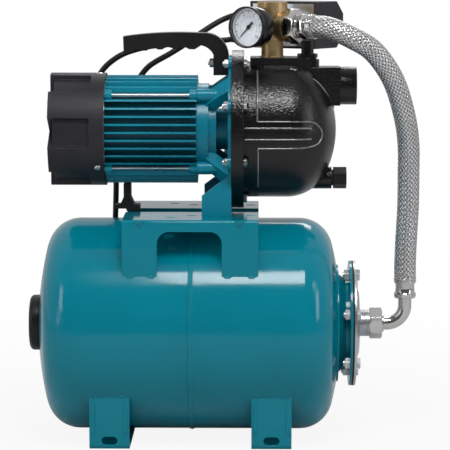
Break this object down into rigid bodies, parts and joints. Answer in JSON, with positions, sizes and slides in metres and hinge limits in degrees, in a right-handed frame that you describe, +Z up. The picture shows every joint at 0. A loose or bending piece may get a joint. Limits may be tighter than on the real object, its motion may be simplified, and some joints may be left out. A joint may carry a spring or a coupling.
{
  "type": "self-priming jet pump booster set",
  "caption": "Finned motor with a cast jet pump on a horizontal pressure tank, with gauge, pressure switch, carry handle and braided hose.",
  "frame": {"origin": "on the floor, under the middle of the set without its mains lead", "axes": "+X along the shaft from the fan end to the suction port, +Z up, the gauge side is -Y"},
  "size_m": [0.4988, 0.3862, 0.5525],
  "materials": {
    "teal_paint": "gloss enamel",
    "teal_cast": "gloss enamel on cast aluminium",
    "black_casting": "rough black enamel",
    "black_plastic": "satin",
    "grey_plastic": "satin",
    "white_plastic": "satin",
    "rubber": "matte",
    "zinc": "zinc plated",
    "steel": "ground",
    "lamination": "laminated",
    "copper": "varnished copper",
    "brass": "cast and machined",
    "chrome": "polished",
    "braid": "braided wire over rubber",
    "alloy": "die cast",
    "ceramic": "polished",
    "dial_white": "printed",
    "clear": "clear"
  },
  "bodies": {
    "set": {"tank_shell_left": "teal_paint", "tank_shell_right": "teal_paint", "tank_neck": "teal_paint", "bladder": "rubber", "counter_flange": "zinc", "flange_bolts": "zinc", "air_valve": "brass", "foot_left": "teal_paint", "foot_right": "teal_paint", "platform": "teal_paint", "mounting_bolts": "zinc", "motor_rest": "rubber", "fan_cover": "grey_plastic", "fan_cover_screws": "zinc", "rear_shield": "alloy", "motor_housing": "teal_cast", "stator_core": "lamination", "stator_windings": "copper", "tie_rods": "zinc", "motor_bracket": "teal_cast", "bearing_outer_rings": "steel", "bearing_balls": "steel", "seal_plate": "steel", "casing_gasket": "rubber", "pump_casing": "black_casting", "casing_bolts": "zinc", "diffuser": "white_plastic", "venturi": "white_plastic", "seal_seat": "ceramic", "handle": "black_plastic", "terminal_box": "black_plastic", "terminal_lid": "black_plastic", "five_way_fitting": "brass", "gauge_case": "black_plastic", "gauge_dial": "dial_white", "gauge_glass": "clear", "switch_base": "zinc", "switch_springs": "steel", "switch_cover": "grey_plastic", "hose_fittings": "chrome", "hose": "braid", "motor_lead": "rubber", "mains_lead": "rubber", "mains_coil": "rubber", "mains_plug": "rubber"},
    "rotor": {"shaft": "steel", "rotor_core": "lamination", "bearing_inner_rings": "steel", "fan": "black_plastic", "seal_head": "rubber", "impeller": "brass"},
    "needle": {"gauge_needle": "black_plastic"},
    "plunger": {"switch_plunger": "brass"},
    "lever": {"switch_lever": "zinc"},
    "air_cap": {"valve_cap": "black_plastic"},
    "air_pin": {"valve_pin": "brass"},
    "drain_ring": {"drain_seal": "rubber"},
    "drain_screw": {"drain_plug": "black_plastic"},
    "priming_ring": {"priming_seal": "rubber"},
    "priming_screw": {"priming_plug": "black_plastic"}
  },
  "joints": [
    {"name": "rotor_spin", "type": "hinge", "parent": "set", "child": "rotor", "pos_m": [0, 0, 0.3915], "axis": [1, 0, 0], "continuous": true},
    {"name": "gauge_needle_turn", "type": "hinge", "parent": "set", "child": "needle", "pos_m": [0.0613, 0, 0.5221], "axis": [0.5446, 0.8387, 0], "range_deg": [0, 270]},
    {"name": "switch_plunger_slide", "type": "slide", "parent": "set", "child": "plunger", "axis": [0.5446, 0.8387, 0], "range_m": [0, 0.0012], "stiffness_N_per_m": 4000},
    {"name": "switch_lever_turn", "type": "hinge", "parent": "set", "child": "lever", "pos_m": [0.06544, 0.06146, 0.5221], "axis": [0, 0, 1], "range_deg": [0, 2.4]},
    {"name": "air_cap_pull", "type": "slide", "parent": "set", "child": "air_cap", "axis": [-1, 0, 0], "range_m": [0, 0.02]},
    {"name": "air_pin_push", "type": "slide", "parent": "set", "child": "air_pin", "axis": [1, 0, 0], "range_m": [0, 0.0015], "stiffness_N_per_m": 2000},
    {"name": "drain_unscrew", "type": "slide", "parent": "set", "child": "drain_ring", "axis": [1, 0, 0], "range_m": [0, 0.009]},
    {"name": "drain_turn", "type": "hinge", "parent": "drain_ring", "child": "drain_screw", "pos_m": [0, 0, 0.3295], "axis": [1, 0, 0], "range_deg": [0, 2426]},
    {"name": "priming_unscrew", "type": "slide", "parent": "set", "child": "priming_ring", "axis": [0, 0, 1], "range_m": [0, 0.009]},
    {"name": "priming_turn", "type": "hinge", "parent": "priming_ring", "child": "priming_screw", "pos_m": [0.106, 0.005, 0.4801], "axis": [0, 0, 1], "range_deg": [0, 2426]}
  ],
  "couplings": [
    {"joint": "switch_lever_turn", "follows": "switch_plunger_slide", "rad_per_m": 33.333},
    {"joint": "drain_turn", "follows": "drain_unscrew", "rad_per_m": 4699.5},
    {"joint": "priming_turn", "follows": "priming_unscrew", "rad_per_m": 4699.5}
  ]
}
